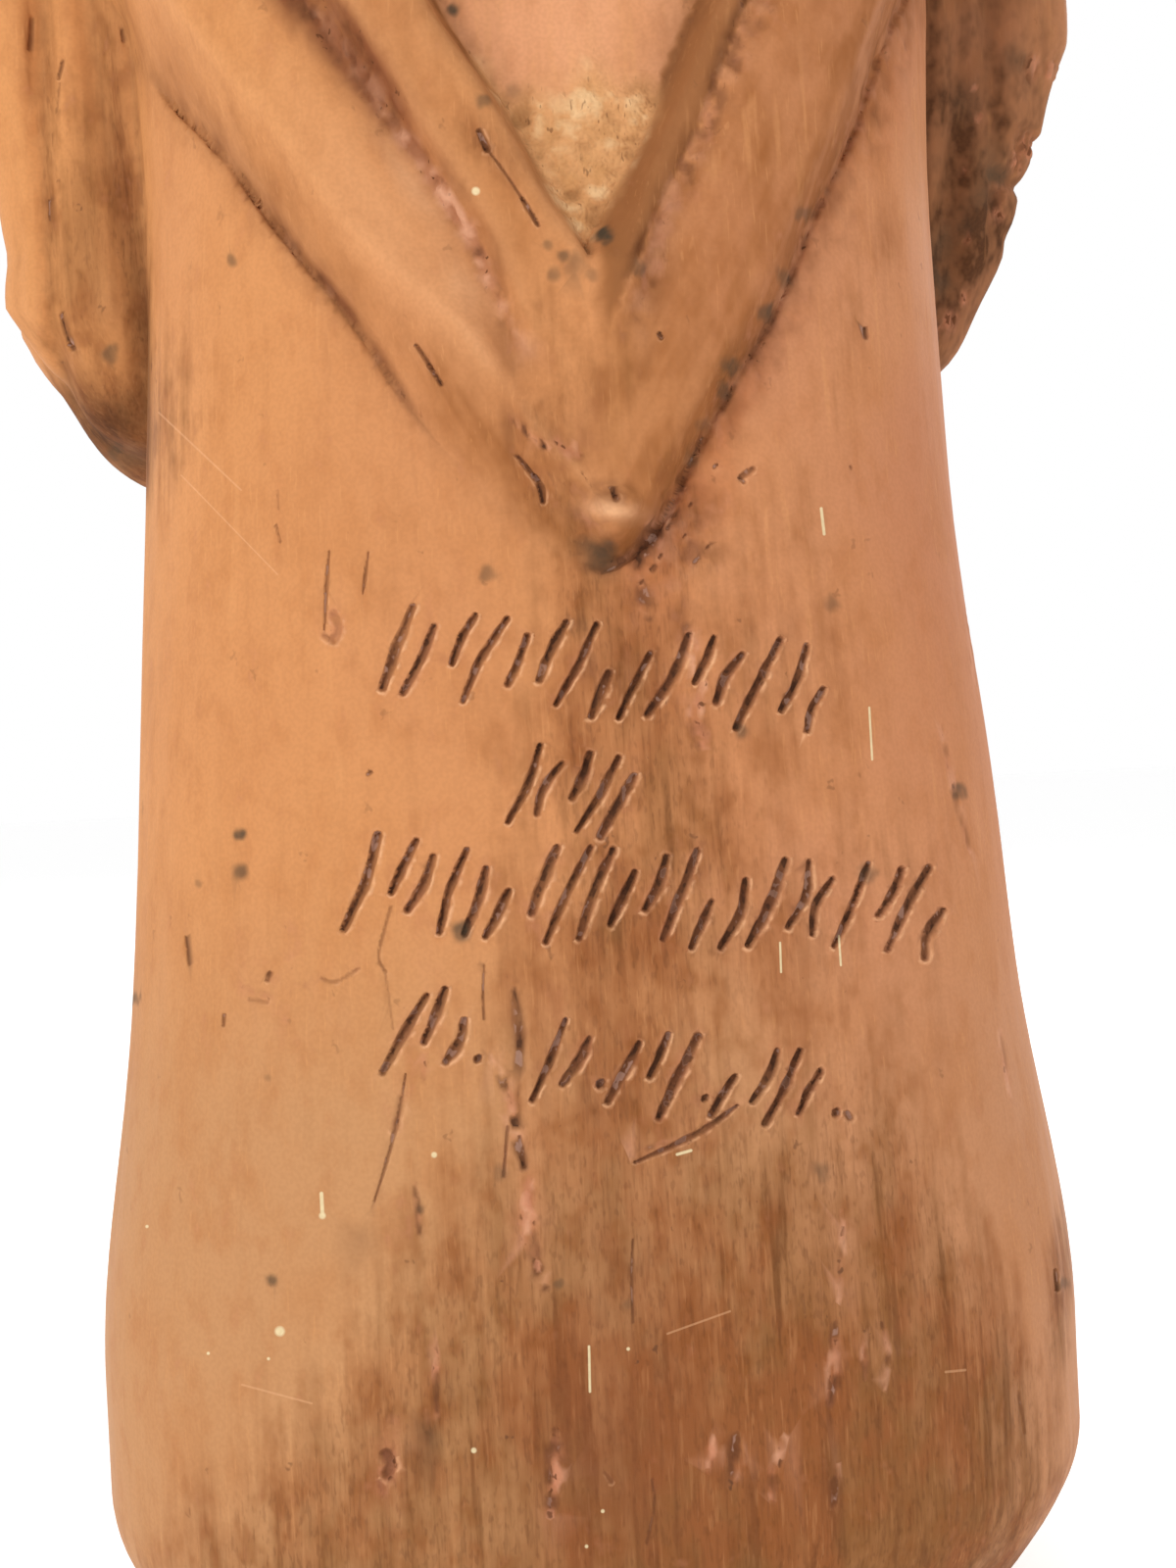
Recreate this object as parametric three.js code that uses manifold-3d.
// Saint statue, modelled by hand in clay, fired and burnished: one solid from the
// low oval base to the crown of the hood.
// Millimetres, +Z up. Origin: centre of the flat underside. The figure faces -Y,
// so its back is towards +Y and its left hand is on +X.
// Angles around the figure run from 0 at the back (+Y) over +90 deg at +X to 180 at the front.
import * as THREE from 'three';
import { mergeVertices } from 'three/addons/utils/BufferGeometryUtils.js';
import Module from 'manifold-3d';

// ---- driving dimensions -------------------------------------------------------
const HEIGHT = 560;            // underside to crown
const BASE_TOP = 12;           // height of the low base
const BASE = { a: 64, b: 66, cy: -16 };
const HEM_Z = 46;              // widest level of the robe
// the hem turns under: a bevel on the figure's right, a rounded turn on its left
const HEM_BEVEL = { from: 31.5, slope: 0.92, soft: 14 };
const HEM_ROUND = { from: 29, radius: 23.5, reach: 22.5 };
const SLIM = { z: 183, over: 38, by: 1.5 };   // the robe draws in a little under the right hanging end
const BODY_BOTTOM = 8;         // the body starts inside the base
const SECTION = 2.3;           // superellipse power of a level section
const WAIST = { a: 66, b: 54.5 };   // section in which the mantle's folds are laid out

// level sections of the figure: height, half width, depth behind, depth in front, centre y
const LEVELS = [
  [HEM_Z, 80.6, 65, 70.5, -2],
  [105, 73.2, 61.2, 65, -0.5],
  [150, 69.8, 58.4, 62, 0],
  [190, 67.1, 56.2, 60, 0],
  [232, 65.1, 54.5, 58, 0],
  [272, 66.4, 54, 57, 0],
  [310, 66.5, 53, 55, 0],
  [350, 62.5, 51, 52, 0],
  [390, 60, 49, 47, 0],
  [425, 53, 45.5, 40, 0],
  [448, 41, 40, 33, -1],
  [466, 35, 37.5, 29.5, -3],
  [484, 36.5, 38, 30, -6],
  [505, 39, 40, 32, -8],
  [525, 39, 40, 32.5, -8],
  [542, 33.5, 35, 28.5, -8],
  [553, 21.5, 23, 20.5, -8],
  [558, 11.5, 12, 11.5, -8],
  [HEIGHT, 3, 3, 3, -8],
];

// the mantle lies across the back in a double V; heights of its creases over the middle of the back
const V = {
  outer: { x0: -1.2, z0: 168.5, left: { slope: 1.7, round: 26 }, right: { slope: 1.95, round: 19.5 } },
  inner: { low: 197, left: { x0: 7.6, z0: 199.7, k1: 0.35, k2: 0.0045 }, right: { x0: 8.2, z0: 208, k1: 0.3, k2: 0.004 } },
  recess: { x0: -0.8, z0: 213.5, left: 2.0, right: 1.92 },
};
const BAND = { crease: -1, lip: 3.8, crest: 5, fold: 2.2, fold2: 5.2, edge: 6, recess: -2 };
const VEIL = { back: 392, front: 438, thick: 2.6 };
const PLEAT = { count: 15, depth: 2.6, reach: 68 };

const COLLAR = { top: 456, bottom: 366, thick: 2.8 };   // front edges of the mantle over the chest

// the mantle over each shoulder and upper arm, down to the end that hangs below the elbow
const SIDE = {
  power: 0.6, inner: 38, edge: 68, wide: 26, fold: 0.05, folds: 6,
  left: { z0: 194, rise: 28, pull: 4.5 }, right: { z0: 205, rise: 60, pull: -1 },
  // height, outer x, centre y, half depth, inner x
  levels: [
    [190, 94, -20, 27, 38],
    [270, 97.5, -20, 28, 38],
    [312, 99.5, -19, 29, 38],
    [345, 97, -15.5, 29.5, 38],
    [375, 90, -9, 29.5, 34],
    [402, 79.5, -4, 30, 28],
    [423, 67, 0, 31, 20],
    [439, 52.5, 1, 29, 12],
    [450, 37, 0, 24, 4],
  ],
};
const ARM = { elbow: [67, -24, 333], mid: [42, -56, 352], wrist: [6, -72, 382], rElbow: 22, rCuff: 16.5, flat: 0.84 };
const HAND = { x: 4.6, y: -82, z: 410, lean: -17, half: 5.4, width: 11.5, length: 34 };
const FACE = { cy: -17, cz: 508, a: 25, b: 25, c: 38, brow: 521, eye: 512, nose: 496.5, mouth: 487.5, chin: 475 };
const HOOD_CUT = { cy: -45, cz: 504, a: 26, b: 30, c: 37 };
const FOOT = { x: 21, y: -59, z: 16, a: 13.8, b: 21.4, c: 11.5 };

const AROUND = 54;

// ---- small helpers ------------------------------------------------------------
const rad = (d) => d * Math.PI / 180;
const clamp = (v, lo, hi) => Math.min(hi, Math.max(lo, v));
const smooth = (a, b, v) => { const t = clamp((v - a) / (b - a), 0, 1); return t * t * (3 - 2 * t); };
const bump = (d, w) => Math.exp(-(d * d) / (w * w));

const wasm = await Module();
wasm.setup();

// moves every point of a geometry, given as z-up coordinates of the unit shape
function mapped(geometry, place) {
  const p = geometry.attributes.position;
  const out = new THREE.Vector3();
  for (let i = 0; i < p.count; i++) {
    place(p.getX(i), -p.getZ(i), p.getY(i), out);
    p.setXYZ(i, out.x, out.y, out.z);
  }
  geometry.deleteAttribute('normal');
  geometry.deleteAttribute('uv');
  return mergeVertices(geometry, 1e-3);
}
function solid(geometry) {
  return new wasm.Manifold(new wasm.Mesh({
    numProp: 3,
    vertProperties: new Float32Array(geometry.attributes.position.array),
    triVerts: new Uint32Array(geometry.index.array),
  }));
}
// a closed loft: place(angle, t, r) with t from 0 at the bottom to 1, r 1 on the skin and 0 in the end caps
function loft(around, along, place) {
  return solid(mapped(new THREE.CylinderGeometry(1, 1, 1, around, along), (x, y, z, out) => {
    place(Math.atan2(x, y), z + 0.5, Math.min(1, Math.hypot(x, y)), out);
  }));
}

// ---- body: level sections ------------------------------------------------------
function level(z) {
  if (z <= HEM_Z) return LEVELS[0].slice(1);
  let i = 0;
  while (i < LEVELS.length - 2 && z > LEVELS[i + 1][0]) i++;
  const p = LEVELS[i], q = LEVELS[i + 1], h = q[0] - p[0], t = clamp((z - p[0]) / h, 0, 1);
  const slope = (j, c) => {
    if (j === 0) return 0;
    if (j === LEVELS.length - 1) return (LEVELS[j][c] - LEVELS[j - 1][c]) / (LEVELS[j][0] - LEVELS[j - 1][0]);
    return (LEVELS[j + 1][c] - LEVELS[j - 1][c]) / (LEVELS[j + 1][0] - LEVELS[j - 1][0]);
  };
  const out = [];
  for (let c = 1; c <= 4; c++) {
    out.push((2 * t ** 3 - 3 * t ** 2 + 1) * p[c] + (t ** 3 - 2 * t ** 2 + t) * h * slope(i, c)
      + (-2 * t ** 3 + 3 * t ** 2) * q[c] + (t ** 3 - t ** 2) * h * slope(i + 1, c));
  }
  return out;
}
const ellipse = (phi, a, b) => (Math.abs(Math.sin(phi) / a) ** SECTION + Math.abs(Math.cos(phi) / b) ** SECTION) ** (-1 / SECTION);

// share of its width that the robe keeps at a height and angle, below the hem's widest level
function hem(phi, z) {
  const down = clamp(HEM_BEVEL.from - z, 0, 30), round = clamp(HEM_ROUND.from - z, 0, HEM_ROUND.reach);
  const bevel = HEM_BEVEL.slope * (Math.hypot(down, HEM_BEVEL.soft) - HEM_BEVEL.soft) / LEVELS[0][1];
  const turn = (HEM_ROUND.radius - Math.sqrt(HEM_ROUND.radius ** 2 - round ** 2)) / LEVELS[0][1];
  return 1 - bevel * (0.5 - 0.5 * Math.sin(phi)) - turn * (0.5 + 0.5 * Math.sin(phi));
}
const slim = (phi, z) => SLIM.by * bump(z - SLIM.z, SLIM.over) * smooth(0.3, 0.95, -Math.sin(phi));

// ---- mantle: crease heights as functions of the angle --------------------------
const across = (phi) => (Math.abs(phi) >= Math.PI / 2 ? Math.sign(phi) * WAIST.a : Math.sin(phi) * ellipse(phi, WAIST.a, WAIST.b));
function outerCrease(x) {
  const d = Math.abs(x - V.outer.x0), s = x > V.outer.x0 ? V.outer.left : V.outer.right;
  return V.outer.z0 + Math.hypot(s.slope * d, s.round) - s.round;
}
function innerCrease(x) {
  const s = x > 0 ? V.inner.left : V.inner.right, d = Math.abs(x);
  if (d <= s.x0) return V.inner.low + (s.z0 - V.inner.low) * (d / s.x0) ** 2;
  return s.z0 + (-s.k1 + Math.sqrt(s.k1 ** 2 + 4 * s.k2 * (d - s.x0))) / (2 * s.k2);
}
const recessEdge = (x) => V.recess.z0 + (x > V.recess.x0 ? V.recess.left : V.recess.right) * Math.abs(x - V.recess.x0);
const veilEdge = (phi) => VEIL.back + (VEIL.front - VEIL.back) * (1 - Math.cos(phi)) / 2;

// key rows of the body loft from the bottom up: height, relief, and loops from the row below
const KEYS = [
  { z: () => BODY_BOTTOM, h: 0 },
  { z: () => HEM_Z, h: 0, n: 7 },
  { z: (x) => outerCrease(x) - 4, h: 0, n: 9 },
  { z: (x) => outerCrease(x), h: BAND.crease, n: 1 },
  { z: (x) => outerCrease(x) + 6, h: BAND.lip, n: 1 },
  { z: (x) => (outerCrease(x) + innerCrease(x)) / 2 + 2, h: BAND.crest, n: 1 },
  { z: (x) => innerCrease(x) - 3, h: BAND.lip, n: 1 },
  { z: (x) => innerCrease(x), h: BAND.fold, n: 1 },
  { z: (x) => innerCrease(x) + 5, h: BAND.fold2, n: 1 },
  { z: (x) => recessEdge(x) - 1.5, h: BAND.edge, n: 2 },
  { z: (x) => recessEdge(x) + 5, h: BAND.recess, n: 1 },
  { z: (x, phi) => veilEdge(phi), h: 0, n: 6 },
  { z: (x, phi) => veilEdge(phi) + 4, h: 0, veil: VEIL.thick, n: 1 },
  { z: () => 466, h: 0, veil: 1, n: 4 },
  { z: () => HEIGHT, h: 0, veil: 0, n: 11 },
];
// round the front, the heights of the two sides run together
function levelOf(key, x, phi) {
  const together = smooth(90, 178, Math.abs(phi) * 180 / Math.PI);
  const own = key.z(x, phi);
  return own + ((key.z(WAIST.a, phi) + key.z(-WAIST.a, phi)) / 2 - own) * together;
}
const LOOPS = KEYS.reduce((s, k) => s + (k.n || 0), 0);
function row(k, phi) {
  const x = across(phi);
  const w = 1 - smooth(90, 122, Math.abs(phi) * 180 / Math.PI);
  for (let i = 1; i < KEYS.length; i++) {
    const p = KEYS[i - 1], q = KEYS[i];
    if (k <= q.n + 1e-6) {
      const t = k / q.n, lo = levelOf(p, x, phi), hi = levelOf(q, x, phi);
      const z = lo + (hi - lo) * t;
      return [z, (p.h + (q.h - p.h) * t) * w * (1 - 0.85 * smooth(305, 350, z)) + (p.veil || 0) + ((q.veil || 0) - (p.veil || 0)) * t];
    }
    k -= q.n;
  }
  return [HEIGHT, 0];
}
// soft upright pleats of the tunic, on the front only
function pleats(phi, z) {
  const f = Math.PI - Math.abs(phi);
  const reach = 1 - smooth(rad(PLEAT.reach - 18), rad(PLEAT.reach + 8), f);
  const up = smooth(20, 70, z) * (1 - smooth(300, 372, z));
  return PLEAT.depth * Math.cos(PLEAT.count * f) * reach * up;
}
// the mantle's two front edges run from the throat down and out to the forearms
function collar(phi, z, R) {
  const f = Math.PI - Math.abs(phi);
  if (f > Math.PI / 2) return 0;
  const x = R * Math.sin(f), edge = 5 + 30 * ((COLLAR.top - z) / (COLLAR.top - COLLAR.bottom)) ** 1.15;
  return z > COLLAR.top || z < COLLAR.bottom ? 0
    : COLLAR.thick * smooth(edge - 2, edge + 2, x) * smooth(COLLAR.bottom, COLLAR.bottom + 12, z) * (1 - smooth(COLLAR.top - 12, COLLAR.top, z));
}
const body = loft(AROUND, LOOPS, (angle, t, r, out) => {
  const phi = angle - 0.12 * Math.sin(angle);
  const [z, relief] = row(t * LOOPS, phi);
  const [a, b, f, cy] = level(z);
  const plain = ellipse(phi, a, Math.cos(phi) > 0 ? b : f) * hem(phi, z) - slim(phi, z);
  const R = (plain + relief + pleats(phi, z) + collar(phi, z, plain)) * r;
  out.set(R * Math.sin(phi), R * Math.cos(phi) + cy, z);
});

// ---- low oval base ---------------------------------------------------------------
const base = solid(mapped(new THREE.CylinderGeometry(1, 1, 1, 64, 2), (x, y, z, out) => {
  const k = z > 0.4 ? 0.985 : 1;
  out.set(x * BASE.a * k, y * BASE.b * k + BASE.cy, (z + 0.5) * BASE_TOP);
}));

// ---- mantle over the shoulders and its hanging ends --------------------------------
function sideLevel(z) {
  const L = SIDE.levels;
  let i = 0;
  while (i < L.length - 2 && z > L[i + 1][0]) i++;
  const t = smooth(L[i][0], L[i + 1][0], z) * 0.35 + clamp((z - L[i][0]) / (L[i + 1][0] - L[i][0]), 0, 1) * 0.65;
  return [1, 2, 3, 4].map((c) => L[i][c] + (L[i + 1][c] - L[i][c]) * t);
}
function side(s) {
  const d = s > 0 ? SIDE.left : SIDE.right;
  const top = SIDE.levels[SIDE.levels.length - 1][0];
  return loft(24, 17, (angle, t, r, out) => {
    const z = d.z0 + (top - d.z0) * (0.75 * t + 0.25 * t * t);
    const open = clamp((z - d.z0) / d.rise, 0, 1);
    const [full, cy, depth, inner] = sideLevel(z);
    const outer = full - d.pull * (1 - smooth(240, 280, z));
    const edge = Math.min(outer, SIDE.edge + (outer - SIDE.edge) * open ** SIDE.power);
    const hx = (edge - inner) / 2, hy = depth * (0.5 + 0.5 * Math.sqrt(open));
    const fold = 1 + SIDE.fold * Math.cos(SIDE.folds * s * angle + 0.5) * open * (1 - smooth(310, 380, z));
    const R = ellipse(angle, hx, hy) * fold * r;
    out.set(s * (inner + hx) + R * Math.sin(angle), cy + R * Math.cos(angle), z);
  });
}

// ---- sleeves, hands, feet -------------------------------------------------------------
const mirror = (p, s) => [p[0] * s, p[1], p[2]];
const endRound = (t, width) => Math.sqrt(1 - (1 - clamp(t / width, 0.06, 1)) ** 2);
function sleeve(s) {
  const curve = new THREE.CatmullRomCurve3([ARM.elbow, ARM.mid, ARM.wrist].map((p) => new THREE.Vector3(...mirror(p, s))), false, 'centripetal');
  const across = new THREE.Vector3(), up = new THREE.Vector3(), tan = new THREE.Vector3(), at = new THREE.Vector3();
  return loft(14, 8, (angle, t, r, out) => {
    curve.getPoint(t, at); curve.getTangent(t, tan);
    across.crossVectors(tan, new THREE.Vector3(0, 0, 1)).normalize();
    up.crossVectors(across, tan).normalize();
    const R = (ARM.rElbow + (ARM.rCuff - ARM.rElbow) * t) * endRound(t, 0.12) * endRound(1 - t, 0.06) * r;
    out.copy(at).addScaledVector(across, R * ARM.flat * Math.sin(angle)).addScaledVector(up, -R * Math.cos(angle));
  });
}
const hand = (s) => solid(mapped(new THREE.SphereGeometry(1, 16, 14), (x, y, z, out) => {
  const taper = 1 - 0.22 * smooth(-0.1, 1, z), px = x * HAND.half * taper, py = y * HAND.width * taper, pz = z * HAND.length;
  const c = Math.cos(rad(HAND.lean)), n = Math.sin(rad(HAND.lean));
  out.set(HAND.x * s + px, HAND.y + py * c + pz * n, HAND.z - py * n + pz * c);
}));
const foot = (s) => solid(mapped(new THREE.SphereGeometry(1, 14, 10), (x, y, z, out) => {
  out.set(FOOT.x * s + x * FOOT.a * (1 + 0.12 * y * y), FOOT.y + y * FOOT.b, FOOT.z + z * FOOT.c);
}));

// ---- head: opening of the hood, and the face in it ------------------------------------
const hoodCut = solid(mapped(new THREE.SphereGeometry(1, 26, 18), (x, y, z, out) => {
  out.set(x * HOOD_CUT.a * (1 - 0.16 * Math.max(0, -z)), HOOD_CUT.cy + y * HOOD_CUT.b, HOOD_CUT.cz + z * HOOD_CUT.c);
}));
const face = solid(mapped(new THREE.SphereGeometry(1, 32, 24), (x, y, z, out) => {
  const narrow = 1 - 0.17 * smooth(0, 1, -z);
  const px = x * FACE.a * narrow, pz = FACE.cz + z * FACE.c;
  let py = FACE.cy + y * FACE.b;
  if (y < 0) {
    const ridge = smooth(FACE.brow + 2, FACE.nose + 2, pz) * smooth(FACE.nose - 4, FACE.nose + 1, pz);
    py -= 6.5 * ridge * bump(px, 4.2) + 1.6 * bump(Math.abs(px) - 3.6, 2.6) * bump(pz - FACE.nose - 1, 3);
    py += 2.6 * bump(Math.abs(px) - 10, 6) * bump(pz - FACE.eye, 4.6) - 1.2 * bump(Math.abs(px) - 10, 5) * bump(pz - FACE.eye + 0.3, 2.6);
    py -= 1.3 * bump(Math.abs(px) - 9, 8) * bump(pz - FACE.brow, 3.4);
    py -= 2.0 * bump(px, 7.5) * bump(pz - FACE.mouth, 4) + 2.2 * bump(px, 8) * bump(pz - FACE.chin, 5);
  }
  out.set(px, py, pz);
}));

// ---- one solid ----------------------------------------------------------------------
let statue = body.subtract(hoodCut).add(face).add(base);
for (const s of [1, -1]) statue = statue.add(side(s)).add(sleeve(s)).add(hand(s)).add(foot(s));

const raw = statue.getMesh();
const geometry = new THREE.BufferGeometry();
geometry.setAttribute('position', new THREE.BufferAttribute(new Float32Array(raw.vertProperties), 3));
geometry.setIndex(new THREE.BufferAttribute(new Uint32Array(raw.triVerts), 1));
geometry.computeVertexNormals();

const firedClay = new THREE.MeshStandardMaterial({ color: 0xb97c51, roughness: 0.52, metalness: 0 });
const mesh = new THREE.Mesh(geometry, firedClay);
mesh.name = 'saint_statue';

const model = new THREE.Group();
model.add(mesh);
export default model;
